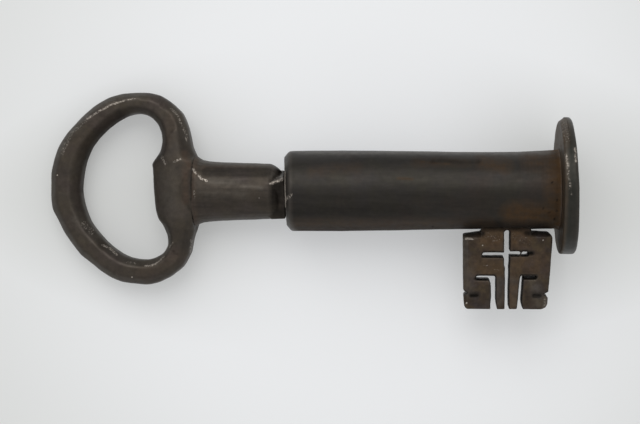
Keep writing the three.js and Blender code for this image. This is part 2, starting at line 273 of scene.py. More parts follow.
# The slopes filed along the bit's near edge and its two shoulders: a place on the face, the way the
# slope faces, the way the file went and how far to either side.
BIT_SLOPES = [
    ((75.9, -22), (-0.5, 0, 0.87), (0, 1, 0), 9),
    ((77, -12.9), (0, 0.6, 0.8), (1, 0, 0), 2.6),
    ((96, -12.6), (0, 0.6, 0.8), (1, 0, 0), 2.6),
]

# Marks on the pieces. Each is its width in millimetres, its strength and the points it runs
# through. Worn marks are metal worn to a shine together with painted glints, sheen marks are
# painted sheen where facets face the light, and shade marks are painted shade. They fade out over
# this depth below the axis, so the underside has none.
MARK_DEPTH = 3
# Worn metal along the bow's ridges, with painted glints: light strokes and dots where light glints
# off it.
BOW_BARE_AND_GLINTS = [
    (1.2, 0.45, (-37.6, 10.6), (-34.9, 16.1), (-30.4, 20.2)),
    (0.6, 0.56, (-30.4, 20.2), (-27.7, 21.8), (-23.6, 24.0), (-19.9, 25.2)),
    (0.5, 0.5, (-19.9, 25.2), (-16.1, 26.0)),
    (0.65, 0.48, (-6.4, 22.9), (-4.6, 21.1), (-3.5, 18.5), (-2.3, 15.6), (-2.1, 14.1)),
    (1.4, 0.46, (-31.5, -9.3), (-29.2, -11.8)),
    (0.5, 0.58, (-26.2, -15.3), (-24.4, -16.2), (-22.1, -18.1)),
    (0.5, 0.48, (-19.1, -20.1), (-16.5, -20.5)),
    (0.5, 0.56, (-13.8, -21.1), (-12.2, -21.1), (-10.5, -20.4), (-8.3, -18.4)),
    (0.5, 0.52, (-6.8, -15.8), (-5.5, -14.4)),
    (0.7, 0.48, (-0.9, -14.0), (-1.3, -17.6)),
    (1.0, 0.5, (-8.7, 9.3), (-7.6, 7.5)),
    (0.6, 0.52, (-5.2, 7.9), (-3.2, 8.8)),
    (0.35, 1.0, (-38.9, 4.4)),
    (0.35, 0.9, (-17.4, -24.3)),
]
# Painted sheen: lighter bands on the bow's facets that face the light.
BOW_PAINTED_SHEEN = [
    (5.0, 0.35, (-8, 4), (-7, -5)),
    (1.8, 0.5, (-39, 10), (-35, 17.5), (-29, 22.5), (-23, 25.8), (-15, 26.8)),
    (1.6, 0.4, (-5.5, 23), (-3.0, 19), (-1.8, 14)),
    (2.5, 0.4, (-33, -8), (-28, -13)),
    (1.5, 0.4, (-24, -17), (-18, -20.5), (-11, -20.5), (-7, -16)),
]
BOW_RUST = [
    (1.6, 0.5, (-1.7, 6.2), (-1.7, -2.9)),
    (1.2, 0.6, (-2.4, 10.4), (-1.0, 6.8)),
    (3.0, 0.2, (-8, 14), (-6, 20)),
    (3.5, 0.2, (-14, -23), (-5, -18)),
    (3.5, 0.15, (-33, 12), (-24, 20)),
]
# Painted shade: the bow's inner faces that lie away from the light are darkened, and so is the
# crease at the seam.
BOW_PAINTED_SHADE = [
    (2.8, 0.5, (-31.0, 9.6), (-28.9, 13.3), (-26.3, 16.3), (-23.4, 18.8), (-20.6, 20.6)),
    (1.2, 0.5, (-32.4, 0.0), (-31.2, 9.0)),
    (0.4, 0.8, (-0.1, 6.5), (-0.1, -2.5)),
]
# Worn metal on the neck, with painted glints and a painted highlight along the shoulder's ridge.
NECK_BARE_AND_GLINTS = [
    (0.75, 0.58, (0.3, 5.8), (1.3, 4.7)),
    (0.7, 0.56, (2.1, 4.1), (2.8, 3.2), (4.5, 2.6)),
    (0.9, 0.56, (22.3, 1.8), (23.2, 2.3), (24.3, 2.5), (25.8, 3.3)),
    (1.2, 0.42, (23.5, 3.2), (25.8, 4.0)),
    (0.6, 0.5, (1.1, -0.2), (1.0, -2.0)),
    (0.35, 0.7, (19.0, -2.1)),
]
# Painted sheen: the neck's top edge, where it reflects the table, and its facets that face the light
# are lightened.
NECK_PAINTED_SHEEN = [
    (1.0, 0.7, (2, 7.9), (20, 7.2)),
    (1.5, 0.5, (5.5, 2.5), (13, 1.9)),
    (2.0, 0.3, (3, -1), (15, -1)),
    (0.9, 0.65, (4.5, 2.6), (8.0, 2.1), (12.1, 2.2)),
    (0.9, 0.5, (14.0, 1.2), (17.0, 1.0), (19.6, 0.5)),
    (1.7, 1.0, (23.0, 4.2), (25.8, 4.6)),
]
NECK_RUST = [(1.4, 0.35, (0.5, 9), (0.5, -9)), (1.2, 0.3, (3, 6.5), (18, 6.5))]
# Painted shade: the crease at the seam, the dark band along the neck's upper side, and the
# shoulder's faces that lie in shadow.
NECK_PAINTED_SHADE = [
    (0.5, 0.7, (-0.1, 6.5), (-0.1, -2.5)),
    (1.6, 0.35, (4, 5.2), (21, 5.0)),
    (2.8, 0.6, (24.3, -7.9), (24.3, -0.2)),
    (1.1, 0.6, (23.4, 0.7), (25.4, 1.9)),
]
# Worn spots on the barrel, with a painted highlight along the mouth's edge.
BARREL_BARE_AND_GLINTS = [
    (0.3, 0.75, (26.5, 5.5), (26.6, -4.7)),
    (1.1, 0.5, (26.8, -2.6), (28.3, -1.4)),
    (0.3, 0.7, (69.5, 6.5)),
    (0.3, 0.7, (58.6, 2.9)),
    (0.3, 0.5, (62.4, 2.6)),
]
# Painted sheen: a light line along the mouth's edge and a painted reflection along the barrel's top.
BARREL_PAINTED_SHEEN = [(0.6, 0.6, (26.3, 8), (26.5, -8)), (0.9, 0.6, (30, 10.5), (98, 10.0))]
# The wide strokes are painted shade, darker bands along the barrel's lower edge and its upper side;
# the small dots are dark pits.
BARREL_DIRT_AND_SHADE = [
    (2.2, 0.45, (30, -11.4), (60, -11.2), (98, -10.6)),
    (2.6, 0.3, (30, -6), (60, -5.5)),
    (1.6, 0.3, (45, 8.2), (70, 7.8)),
    (1.0, 0.5, (66, 7.6), (69, 7.9), (74, 7.4), (79, 7.6)),
    (0.35, 1.0, (99.6, -2.9)),
    (0.35, 1.0, (99.7, -5.7)),
    (0.4, 0.9, (97.6, -6.1)),
    (0.35, 0.8, (96.0, -5.0)),
    (0.45, 0.9, (99.2, -7.9)),
    (0.35, 0.8, (98.2, 1.8)),
    (0.35, 0.9, (66.6, -10.1)),
    (4.0, 0.12, (90, 5.0), (97, 5.0)),
]
BARREL_RUST = [
    (6.5, 1.0, (101.5, 11), (101.5, -11)),
    (4, 0.45, (93, 8), (99, 7)),
    (4.5, 0.9, (88, -6.6), (99, -6.8)),
    (3.0, 0.4, (30, -9.8), (82, -9.8)),
    (0.5, 0.6, (63.5, 7.6), (71, 7.0)),
    (0.5, 0.5, (57.3, 3.1), (61.2, 2.8)),
    (3, 0.5, (80, 7.5), (86, 6.5)),
    (2, 0.3, (62, 7.5), (76, 7.5)),
    (2.5, 0.2, (34, 5), (46, 6)),
]
# Worn metal on the flange's rim, with painted glints along its edges.
DISC_BARE_AND_GLINTS = [
    (0.8, 0.54, (101.3, 9.0), (101.6, 5.9)),
    (0.75, 0.47, (101.6, 5.4), (101.8, 3.5), (102.1, 0.9), (102.5, -1.5)),
    (0.6, 0.55, (103.7, 10.8), (103.7, 7.0)),
    (2.0, 0.42, (102.0, 18.5), (101.6, 13.0)),
]
# Painted sheen: light lines along the rim's edges.
DISC_PAINTED_SHEEN = [
    (0.7, 0.5, (101.6, 19), (101.4, 3)),
    (0.6, 0.4, (104.4, 12), (104.5, 4)),
    (1.5, 0.3, (102.6, 19.5), (102, 15)),
]
DISC_RUST = [(1.0, 0.6, (101.0, 20), (101.0, -18)), (1.8, 0.7, (101.8, 19), (101.2, 12))]
# Worn spots on the bit, with painted glints along its edges and corners.
BIT_BARE_AND_GLINTS = [
    (0.6, 0.58, (75.6, -13.3), (77.5, -13.5)),
    (0.38, 0.7, (80.2, -15.2)),
    (0.36, 0.7, (96.5, -13.7)),
    (0.4, 0.9, (75.8, -31.0)),
    (0.45, 0.45, (80.5, -20.7), (81.7, -20.7)),
    (0.45, 0.45, (83.5, -21.8), (84.9, -21.8)),
    (0.8, 0.45, (96.9, -29.8), (96.9, -31.8)),
    (2.2, 0.38, (81.5, -12.5), (84.0, -13.5)),
    (2.2, 0.38, (88.5, -12.5), (92.5, -14.0)),
]
# Painted sheen: the filed slopes and edges of the bit are lightened where they face the light.
BIT_PAINTED_SHEEN = [
    (1.4, 0.7, (75.0, -13.5), (75.2, -27.0)),
    (1.2, 0.8, (97.2, -30), (96.8, -32)),
    (3, 0.3, (76, -20), (76, -27)),
    (2.5, 0.45, (94, -25), (95.5, -31)),
    (1.3, 0.45, (84.8, -24.5), (84.8, -31)),
    (1.3, 0.3, (88.6, -24.5), (88.6, -31)),
]
BIT_RUST = [
    (5, 0.8, (82, -13), (90, -13)),
    (5, 0.5, (78, -22), (95, -20)),
    (3, 0.6, (88, -27), (88, -30)),
]
# Painted shade: under the shoulders, at the root next to the barrel, and in the pits at the ends of
# the blind cuts.
BIT_PAINTED_SHADE = [
    (1.2, 0.8, (75, -12.2), (80, -11.8)),
    (1.2, 0.8, (92, -11.7), (98, -12.0)),
    (1.2, 1.0, (77.2, -28.8), (78.6, -28.8)),
    (1.2, 1.0, (94.2, -28.8), (95.6, -28.8)),
    (0.9, 1.0, (92.6, -17.2), (93.6, -17.2)),
    (1.7, 0.8, (80.3, -10.0), (93.0, -10.0)),
]
# Painted shade on the walls and edges of every cut, which lie in shade.
BIT_PAINTED_SHADE += [(0.3, 0.9, *outline, outline[0]) for outline in WARD_CUTS]
BIT_PAINTED_SHADE += [(0.3, 0.9, *[(x, y + SLANT_SHADE) for x, y in SLANTING_CUT])]


def levelled_box(name, level):
    """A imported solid's lowest and highest corner, once the key's tilt is taken off."""
    points = [level @ vertex.co for vertex in frame["nodes"][name].data.vertices]
    return [Vector(pick(point[i] for point in points) for i in range(3)) for pick in (min, max)]


def key_to_table():
    """Takes the key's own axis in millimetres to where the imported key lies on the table."""
    mounts = {mount["name"]: mount for mount in frame["record"]["mounts"]}
    side = mounts["bit_side"]["axis"]
    level = Matrix.Rotation(math.atan2(-side[0], side[2]), 4, "Y")
    seam = levelled_box("bow", level)[1].x
    low, high = levelled_box("barrel", level)
    start = Vector((seam, (low.y + high.y) / 2, (low.z + high.z) / 2))
    return level.inverted() @ Matrix.Translation(start) @ Matrix.Scale(MM, 4)


@contextmanager
def editing(piece):
    """Holds a piece in edit mode."""
    bpy.context.view_layer.objects.active = piece
    bpy.ops.object.mode_set(mode="EDIT")
    yield
    bpy.ops.object.mode_set(mode="OBJECT")


def deselect_all():
    """Leaves nothing selected, so that the next operator acts on the new piece only."""
    bpy.ops.object.select_all(action="DESELECT")


def made(name=None):
    """The piece just added, with its place in its mesh."""
    piece = bpy.context.object
    bpy.ops.object.transform_apply(location=True, rotation=True, scale=True)
    if name:
        piece.name = piece.data.name = name
    return piece


def pick_points(piece, test):
    """Selects the points of a piece in edit mode whose place passes a test."""
    bpy.ops.mesh.select_all(action="DESELECT")
    mesh = bmesh.from_edit_mesh(piece.data)
    for point in mesh.verts:
        if test(point.co):
            point.select_set(True)
    mesh.select_flush(True)
    bmesh.update_edit_mesh(piece.data)


def change(piece, kind, **settings):
    """Adds a modifier and applies it."""
    bpy.context.view_layer.objects.active = piece
    modifier = piece.modifiers.new(kind.lower(), kind)
    for name, value in settings.items():
        setattr(modifier, name, value)
    bpy.ops.object.modifier_apply(modifier=modifier.name)


def join(piece, *others):
    """Makes several rough solids one piece."""
    deselect_all()
    for other in (piece, *others):
        other.select_set(True)
    bpy.context.view_layer.objects.active = piece
    bpy.ops.object.join()


def lean_end(piece, start, end, angle, axis, steps=8):
    """Leans one end of a piece by an angle, in steps from a start on the key's axis to an end."""
    side = 1 if end > start else -1
    with editing(piece):
        for i in range(steps):
            edge = start + (end - start) * (i + 0.5) / steps
            pick_points(piece, lambda co: (co.x - edge) * side > 0)
            bpy.ops.transform.rotate(
                value=angle / steps, orient_axis=axis, center_override=(edge, 0, 0)
            )


def cut_away(piece, *cutters):
    """Cuts each cutter's shape out of a piece and throws the cutter away."""
    for cutter in cutters:
        change(piece, "BOOLEAN", operation="DIFFERENCE", object=cutter, solver="EXACT")
        bpy.data.objects.remove(cutter)


def box(low, high, turn=0.0):
    """A block between two corners, turned about the key's axis."""
    low, high = Vector(low), Vector(high)
    deselect_all()
    bpy.ops.mesh.primitive_cube_add(size=1, location=(low + high) / 2)
    bpy.context.object.scale = high - low
    block = made()
    block.data.transform(Matrix.Rotation(turn, 4, "X"))
    return block


def stretch(across, width, height, middle):
    """Widens what is selected across the bar, and heightens it."""
    bpy.ops.transform.resize(
        value=(width, 1, height), orient_matrix=[list(axis) for axis in across.col],
        orient_matrix_type="GLOBAL", center_override=middle,
    )


def bar_of(name, rings, sides, closed):
    """A bar drawn out ring by ring. A ring is its middle, its turn about Z, its width and its
    height.
    """
    middle, turn, width, height = rings[0]
    deselect_all()
    half_side = math.pi / sides
    bpy.ops.mesh.primitive_circle_add(
        vertices=sides, radius=0.5 / math.cos(half_side), location=middle,
        rotation=(math.pi / 2, half_side, turn), fill_type="NOTHING" if closed else "NGON",
    )
    bar = made(name)
    across = Matrix.Rotation(turn, 3, "Z")
    with editing(bar):
        bpy.ops.mesh.select_all(action="SELECT")
        stretch(across, width, height, middle)
        for next_middle, next_turn, next_width, next_height in rings[1:]:
            step = {"value": next_middle - middle}
            if closed:
                bpy.ops.mesh.extrude_edges_move(TRANSFORM_OT_translate=step)
            else:
                bpy.ops.mesh.extrude_region_move(TRANSFORM_OT_translate=step)
            bpy.ops.transform.rotate(
                value=turn - next_turn, orient_axis="Z", center_override=next_middle
            )
            across = Matrix.Rotation(next_turn, 3, "Z")
            stretch(across, next_width / width, next_height / height, next_middle)
            middle, turn, width, height = next_middle, next_turn, next_width, next_height
        if closed:
            bpy.ops.mesh.select_all(action="DESELECT")
            bpy.ops.mesh.select_mode(type="EDGE")
            bpy.ops.mesh.select_non_manifold()
            bpy.ops.mesh.bridge_edge_loops()
            bpy.ops.mesh.select_mode(type="VERT")
        bpy.ops.mesh.select_all(action="SELECT")
        bpy.ops.mesh.normals_make_consistent(inside=False)
    return bar


def drawn(name, points, longest=math.inf):
    """A closed outline drawn from point to point, in even edges of about the longest length."""
    deselect_all()
    bpy.ops.mesh.primitive_plane_add(size=1, location=points[0])
    piece = made(name)
    with editing(piece):
        bpy.ops.mesh.select_all(action="SELECT")
        bpy.ops.mesh.merge(type="CENTER")
        for here, there in zip(points, points[1:] + points[:1]):
            count = max(1, round((there - here).length / longest))
            for _ in range(count):
                bpy.ops.mesh.extrude_vertices_move(
                    TRANSFORM_OT_translate={"value": (there - here) / count}
                )
        bpy.ops.mesh.select_all(action="SELECT")
        bpy.ops.mesh.remove_doubles(threshold=0.01)
    return piece


def turned(name, outline, steps):
    """A turned piece from its closed outline of (x, radius) points."""
    piece = drawn(name, [Vector((x, radius, 0)) for x, radius in outline], longest=0.45)
    with editing(piece):
        bpy.ops.mesh.select_all(action="SELECT")
        bpy.ops.mesh.spin(steps=steps, angle=2 * math.pi, center=(0, 0, 0), axis=ALONG)
        bpy.ops.mesh.select_all(action="SELECT")
        bpy.ops.mesh.remove_doubles(threshold=0.001)
        bpy.ops.mesh.normals_make_consistent(inside=False)
    return piece


def punched(outline, low, high, lean=0.0, name=None):
    """A block with a drawn outline, standing between two heights. Its top can lean along y."""
    block = drawn(name, [Vector((x, y, low)) for x, y in outline])
    with editing(block):
        bpy.ops.mesh.select_all(action="SELECT")
        bpy.ops.mesh.edge_face_add()
        bpy.ops.mesh.extrude_region_move(TRANSFORM_OT_translate={"value": (0, lean, high - low)})
        bpy.ops.mesh.select_all(action="SELECT")
        bpy.ops.mesh.normals_make_consistent(inside=False)
    return block


def rod(start, end, radius, name=None):
    """A round rod on the key's axis."""
    deselect_all()
    bpy.ops.mesh.primitive_cylinder_add(
        vertices=48, radius=radius, depth=end - start, location=((start + end) / 2, 0, 0),
        rotation=(0, math.pi / 2, 0),
    )
    return made(name)


def rounding(centre, radius, start, end, steps=5):
    """Points on a quarter of a circle in an outline, between two angles in degrees."""
    angles = [math.radians(start + (end - start) * i / steps) for i in range(steps + 1)]
    return [(centre[0] + radius * math.cos(a), centre[1] + radius * math.sin(a)) for a in angles]


def hammer(piece, blows, reach=12):
    """Each blow drives what stands out past a plane back onto it, over its length along the bar and
    no further off than its reach.
    """
    with editing(piece):
        for place, normal, along, half_length in blows:
            across = normal.cross(along).normalized()
            axes = [normal, across, normal.cross(across)]
            pick_points(piece, lambda co: (co - place).dot(normal) > 0
                        and abs((co - place).dot(along)) < half_length
                        and (co - place).length < reach)
            bpy.ops.transform.resize(
                value=(0, 1, 1), orient_matrix=[list(axis) for axis in axes],
                orient_matrix_type="GLOBAL", center_override=place,
            )


def one_skin(piece, grain, softening):
    """Joins rough solids into one closed skin of small even faces and softens its edges."""
    change(piece, "REMESH", mode="VOXEL", voxel_size=grain, use_smooth_shade=True)
    change(piece, "SMOOTH", factor=0.5, iterations=softening)


def dent(piece, size, depth):
    """Uneven dents of a size, as hammer and rust leave them."""
    texture = bpy.data.textures.new(piece.name + "_dents", "CLOUDS")
    texture.noise_scale = size
    change(
        piece, "DISPLACE",
        texture=texture, texture_coords="LOCAL", strength=depth, mid_level=0.5,
    )


def keep_values(piece, name, values):
    """Keeps a value for each point of a piece, where its material reads it."""
    layer = piece.data.attributes.new(name, "FLOAT", "POINT")
    layer.data.foreach_set("value", np.clip(values, 0, 1).astype(np.float32))


def brush(piece, name, strokes, fade=0.8, beyond=0.0, through=False):
    """Paints marks on the upper side of a piece or right through it, and only further than a radius
    from the key's axis. The outer part of each mark, a share of it, fades out.
    """
    points = np.array([vertex.co for vertex in piece.data.vertices])
    reached = (np.linalg.norm(points[:, 1:], axis=1) > beyond).astype(float)
    if not through:
        reached *= np.clip(1 + points[:, 2] / MARK_DEPTH, 0, 1)
    mark = np.zeros(len(points))
    for width, strength, *path in strokes:
        for start, end in zip(path, path[1:] or path):
            start, way = np.array(start, float), np.subtract(end, start)
            share = np.clip((points[:, :2] - start) @ way / max(way @ way, 1e-9), 0, 1)
            distance = np.linalg.norm(points[:, :2] - start - share[:, None] * way, axis=1)
            seen = strength * np.clip((width - distance) / (width * fade), 0, 1)
            mark = np.maximum(mark, seen * reached)
    keep_values(piece, name, mark)


def feel_edges(piece, spread=5, full=0.09):
    """Marks ridges and grooves, by how far the surface stands off its own smoothed shape: fully
    where that is as much as full says, in millimetres.
    """
    mesh = bmesh.new()
    mesh.from_mesh(piece.data)
    count = len(mesh.verts)
    ends = np.array([[vertex.index for vertex in edge.verts] for edge in mesh.edges])
    places = np.array([vertex.co for vertex in mesh.verts])
    normals = np.array([vertex.normal for vertex in mesh.verts])
    mesh.free()
    degree = np.bincount(ends.ravel(), minlength=count)[:, None]

    def mean_round(values):
        total = np.zeros_like(values)
        np.add.at(total, ends[:, 0], values[ends[:, 1]])
        np.add.at(total, ends[:, 1], values[ends[:, 0]])
        return total / degree

    smooth = places
    for _ in range(spread):
        smooth = 0.5 * smooth + 0.5 * mean_round(smooth)
    bend = np.sum((places - smooth) * normals, axis=1) / full
    keep_values(piece, "ridge", bend)
    keep_values(piece, "groove", -bend)


def bow_blows(rings):
    """The blows that leave a flat along the outside of the bar, and a broad one on each face."""
    blows = []
    angles, *flats = np.array(BOW_FLATS).T
    for i, (middle, turn, width, height) in enumerate(rings):
        outward = Vector((math.cos(turn), math.sin(turn), 0))
        along = Vector((-math.sin(turn), math.cos(turn), 0))
        before, after = rings[i - 1][0], rings[(i + 1) % len(rings)][0]
        # A blow reaches a little past halfway to the next ring.
        half_length = 0.3 * ((after - middle).length + (before - middle).length)
        angle = math.degrees(math.atan2(middle.y - EYE_CENTRE.y, middle.x - EYE_CENTRE.x))
        flat, slope = (np.interp(angle, angles, column) for column in flats)
        for face in (1, -1):
            top = Vector((0, 0, face * height / 2))
            lean = Vector((chance.uniform(-0.03, 0.03), chance.uniform(-0.03, 0.03), face))
            width_here = flat + chance.uniform(-0.25, 0.25)
            slope_here = math.radians(slope + chance.uniform(-4, 4))
            if abs(middle.y) < BOSS_REACH and middle.x > BOSS_START:
                continue
            place = middle + outward * (width / 2 - width_here) + top
            normal = outward * math.sin(slope_here) + face * Vector((0, 0, math.cos(slope_here)))
            blows.append((place, normal, along, half_length))
            # The broad blow sinks a little into the face. There is none where the bar already
            # thickens to the boss.
            if height < BAR_THICKNESS + 0.5:
                blows.append((middle + top * 0.97, lean.normalized(), along, half_length * 1.2))
    return blows


def bow():
    """The bow: a bar forged to eight sides, bent to a loop and thickened to a boss at the neck."""
    rings = []
    for outer, inner in BOW_OUTLINE:
        outer, inner = Vector((*outer, 0)), Vector((*inner, 0))
        across = outer - inner
        thickness = BAR_THICKNESS
        if inner.x > BOSS_SIDE:
            thickness = float(np.interp(inner.y, *BOSS_SWELLING))
        turn = math.atan2(across.y, across.x)
        rings.append(((outer + inner) / 2, turn, across.length, thickness))
    loop = bar_of("forged_bow", rings, BAR_SIDES, closed=True)
    with editing(loop):
        bpy.ops.mesh.select_all(action="SELECT")
        bpy.ops.transform.edge_crease(value=0.35)
    change(loop, "SUBSURF", levels=3, render_levels=3)
    hammer(loop, bow_blows(rings))
    (start, *start_reach), (end, *end_reach) = COLLAR
    collar = rod(start, end, 1)
    with editing(collar):
        for place, reach in ((start, start_reach), (end, end_reach)):
            pick_points(collar, lambda co: abs(co.x - place) < 0.1)
            bpy.ops.transform.resize(value=(1, *reach), center_override=(place, 0, 0))
    change(loop, "BOOLEAN", operation="UNION", object=collar, solver="EXACT")
    bpy.data.objects.remove(collar)
    past_the_seam = box((0, -40, -20), (20, 40, 20))
    tenon_hole = rod(-TENON_LENGTH - FIT_GAP, 5, TENON_RADIUS + FIT_GAP)
    cut_away(loop, past_the_seam, tenon_hole)
    one_skin(loop, grain=0.28, softening=2)
    dent(loop, size=7, depth=0.22)
    dent(loop, size=1.4, depth=0.04)
    feel_edges(loop, full=0.11)
    brush(loop, "bare_and_glints", BOW_BARE_AND_GLINTS, fade=0.6)
    brush(loop, "rust", BOW_RUST)
    brush(loop, "dirt_and_shade", BOW_PAINTED_SHADE)
    brush(loop, "painted_sheen", BOW_PAINTED_SHEEN)
    return loop


def neck():
    """The neck: a round bar filed to a square shoulder and tang, with its tenon and peened end."""
    rings = []
    for x, top, bottom, half in NECK_STATIONS:
        rings.append((Vector((x, (top + bottom) / 2, 0)), math.pi / 2, top - bottom, 2 * half))
    bar = bar_of("filed_neck", rings, NECK_SIDES, closed=False)
    half = SHOULDER_SIDE / 2
    end = MOUTH_MIDDLE - FIT_GAP / 2
    shoulder = box((SHOULDER_START, -half, -half), (end, half, half), SHOULDER_TURN)
    with editing(shoulder):
        pick_points(shoulder, lambda co: co.x > SHOULDER_START + 1)
        bpy.ops.transform.rotate(
            value=SHOULDER_TWIST, orient_axis="X", center_override=(MOUTH_MIDDLE, 0, 0)
        )
        bpy.ops.transform.resize(
            value=(1, SHOULDER_WIDENING, SHOULDER_WIDENING), center_override=(MOUTH_MIDDLE, 0, 0)
        )
    lean_end(shoulder, MOUTH_MIDDLE - 1, MOUTH_MIDDLE, -MOUTH_LEAN, "Y")
    lean_end(shoulder, MOUTH_MIDDLE - 1, MOUTH_MIDDLE, -MOUTH_SIDE_LEAN, "Z")
    shoulder.data.transform(Matrix.Translation((0, -SHOULDER_DROP, 0)))
    change(shoulder, "BEVEL", width=0.3, segments=1)
    half = TANG_SIDE / 2
    peen_start = PLUG_START + PLUG_LENGTH + FIT_GAP
    peen_end = peen_start + PEEN_HEIGHT
    tang_end = peen_start + PEEN_HEIGHT / 2
    tang = box((TANG_START, -half, -half), (tang_end, half, half), TANG_TURN)
    peen = rod(peen_start, peen_end, PEEN_RADIUS)
    with editing(peen):
        pick_points(peen, lambda co: co.x > peen_end - 0.1)
        bpy.ops.transform.resize(
            value=(1, PEEN_TAPER, PEEN_TAPER), center_override=(peen_end, 0, 0)
        )
    tenon = rod(-TENON_LENGTH, 4, TENON_RADIUS)
    join(bar, shoulder, tang, tenon, peen)
    one_skin(bar, grain=0.26, softening=2)
    dent(bar, size=6, depth=0.2)
    dent(bar, size=1.2, depth=0.03)
    feel_edges(bar)
    brush(bar, "bare_and_glints", NECK_BARE_AND_GLINTS, fade=0.6)
    brush(bar, "rust", NECK_RUST)
    brush(bar, "dirt_and_shade", NECK_PAINTED_SHADE, fade=0.4)
    brush(bar, "painted_sheen", NECK_PAINTED_SHEEN)
    return bar


def barrel():
    """The barrel: a rolled and filed tube with a rounded mouth and a slot for the bit's root."""
    outline = [
        (MOUTH_MIDDLE + MOUTH_ROUNDING, BORE_RADIUS),
        (MOUTH_MIDDLE, BORE_RADIUS + MOUTH_ROUNDING),
    ]
    outline += [(MOUTH_MIDDLE + x, radius) for x, radius in MOUTH_CHAMFER]
    outline += BARREL_RADII
    outline += [(BARREL_END, BORE_RADIUS)]
    tube = turned("rolled_barrel", outline, steps=160)
    tube.data.transform(Matrix.Translation((0, -BARREL_DROP, 0)))
    with editing(tube):
        for bent in np.linspace(BEND_START, BEND_END, BEND_STEPS):
            pick_points(tube, lambda co: co.x > bent)
            bpy.ops.transform.translate(value=(0, BARREL_BEND / BEND_STEPS, 0))
    lean_end(tube, LEAN_START, LEAN_END, -MOUTH_LEAN, "Y")
    lean_end(tube, LEAN_START, LEAN_END, -MOUTH_SIDE_LEAN, "Z")
    # The far end leans with the flange's face.
    lean_end(tube, BARREL_END - 1, BARREL_END - 0.2, -DISC_LEAN, "Z")
    dent(tube, size=14, depth=0.2)
    dent(tube, size=1.2, depth=0.02)
    half = BIT_THICKNESS / 2 + BRAZED_GAP
    start = ROOT_START - BRAZED_GAP
    end = ROOT_START + ROOT_WIDTH + BRAZED_GAP
    cut_away(tube, box((start, -30, -half), (end, 0, half), BIT_TWIST))
    feel_edges(tube)
    brush(tube, "bare_and_glints", BARREL_BARE_AND_GLINTS, fade=0.6)
    brush(tube, "rust", BARREL_RUST)
    brush(tube, "dirt_and_shade", BARREL_DIRT_AND_SHADE)
    brush(tube, "painted_sheen", BARREL_PAINTED_SHEEN)
    return tube


def breech_plug():
    """The plug: a turned washer with a square hole for the tang, brazed in the barrel."""
    end = PLUG_START + PLUG_LENGTH
    plug = rod(PLUG_START, end, BORE_RADIUS - FIT_GAP, name="breech_washer")
    change(plug, "BEVEL", width=0.4, segments=2)
    half = TANG_SIDE / 2 + FIT_GAP
    cut_away(plug, box((PLUG_START - 2, -half, -half), (end + 2, half, half), TANG_TURN))
    one_skin(plug, grain=0.35, softening=1)
    feel_edges(plug, spread=3)
    brush(plug, "rust", [(3, 0.6, (PLUG_START, -8), (PLUG_START, 8))], fade=0.6)
    return plug


def disc_wear(face):
    """The flats worn round the disc's rim towards the barrel."""
    blows = []
    widths = np.interp(WEAR_ANGLES, *np.array(DISC_WEAR).T)
    for degrees, width in zip(WEAR_ANGLES, widths):
        angle = math.radians(degrees)
        out = Vector((0, math.cos(angle), math.sin(angle)))
        along = Vector((0, -math.sin(angle), math.cos(angle)))
        rim = Vector((face, DISC_OFFSET, 0)) + out * DISC_RADIUS
        place = rim + Vector((float(width) * WEAR_OUT, 0, 0))
        normal = (WEAR_OUT * out - WEAR_IN * ALONG).normalized()
        blows.append((place, normal, along, WEAR_HALF_LENGTH))
    return blows


def end_disc():
    """The end disc: a flange set off its middle, with a spigot in the barrel and a pin hole."""
    face = BARREL_END + DISC_GAP
    back = face + DISC_THICKNESS
    spigot = BORE_RADIUS - FIT_GAP
    spigot_start = BARREL_END - SPIGOT_LENGTH
    outline = [(spigot_start, PIN_HOLE_RADIUS), (spigot_start, spigot), (face, spigot)]
    outline += rounding(
        (face + INNER_ROUNDING, DISC_RADIUS - INNER_ROUNDING), INNER_ROUNDING, 180, 90
    )
    outline += rounding(
        (back - OUTER_ROUNDING, DISC_RADIUS - OUTER_ROUNDING), OUTER_ROUNDING, 90, 0
    )
    outline += [(back, PIN_HOLE_RADIUS)]
    disc = turned("flange_disc", outline, steps=200)
    with editing(disc):
        for radius in OFFSET_RADII:
            pick_points(disc, lambda co: co.x > face - 0.1 and co.yz.length > radius)
            bpy.ops.transform.translate(value=(0, DISC_OFFSET / len(OFFSET_RADII), 0))
    hammer(disc, disc_wear(face))
    with editing(disc):
        pick_points(disc, lambda co: co.x > face - 0.1)
        bpy.ops.transform.rotate(
            value=-DISC_LEAN, orient_axis="Z", center_override=(BARREL_END, 0, 0)
        )
        pick_points(disc, lambda co: co.x > face + DISC_THICKNESS / 2)
        bpy.ops.transform.rotate(
            value=-OUTER_FACE_LEAN, orient_axis="Z", center_override=(back, 0, 0)
        )
    dent(disc, size=6, depth=0.15)
    dent(disc, size=1.0, depth=0.03)
    feel_edges(disc)
    brush(disc, "bare_and_glints", DISC_BARE_AND_GLINTS, fade=0.6, beyond=DISC_RADIUS - RIM_DEPTH)
    brush(disc, "rust", DISC_RUST, through=True)
    brush(disc, "painted_sheen", DISC_PAINTED_SHEEN, beyond=DISC_RADIUS - RIM_DEPTH)
    return disc


def bit_filing(half):
    """The blows that leave the filed slopes, on the upper face and on the lower one."""
    blows = []
    for face in (1, -1):
        for (x, y), (along_x, along_y, up), way, half_length in BIT_SLOPES:
            normal = Vector((along_x, along_y, up * face)).normalized()
            blows.append((Vector((x, y, half * face)), normal, Vector(way), half_length))
    return blows


def ward_cuts(half):
    """Blocks in the shape of the saw cuts and nicks, which stand out of both faces."""
    foot, head = -half - 2, half + 2
    cuts = [punched(outline, foot, head) for outline in WARD_CUTS]
    cuts.append(punched(SLANTING_CUT, foot, head, lean=SLANT))
    cuts.append(punched(BURR, foot, half - BURR_HEIGHT))
    cuts += [punched(outline, half - BLIND_DEPTH, head) for outline in BLIND_CUTS]
    return cuts


